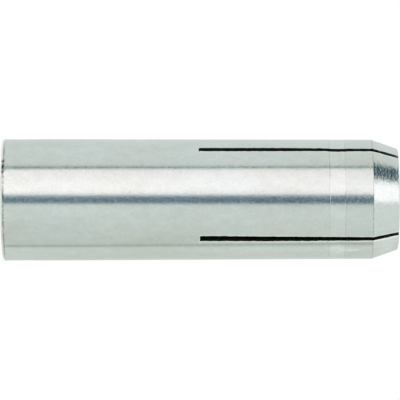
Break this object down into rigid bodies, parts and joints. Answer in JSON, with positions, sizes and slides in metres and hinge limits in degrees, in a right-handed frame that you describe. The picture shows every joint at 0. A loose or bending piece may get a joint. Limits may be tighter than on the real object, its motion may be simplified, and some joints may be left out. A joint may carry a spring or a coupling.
{
  "type": "drop-in anchor",
  "caption": "Slotted steel expansion sleeve with an inner thread at its mouth and a loose tapered plug that is driven towards the chamfered tip to spread its leaves.",
  "frame": {"origin": "centre of the mouth face, on the sleeve's axis", "axes": "+Z along the sleeve's axis, from the threaded mouth to the slotted tip; -Y through the middle of the leaf that faces the viewer in the picture"},
  "size_m": [0.012, 0.012, 0.0393],
  "materials": {
    "bright_zinc": "bright zinc plate, faintly mottled",
    "plain_steel": "turned, oiled"
  },
  "bodies": {
    "sleeve": {"sleeve": "bright_zinc"},
    "plug": {"expander_plug": "plain_steel"}
  },
  "joints": [
    {"name": "plug_travel", "type": "slide", "parent": "sleeve", "child": "plug", "axis": [0, 0, 1], "range_m": [0, 0.0024]}
  ]
}
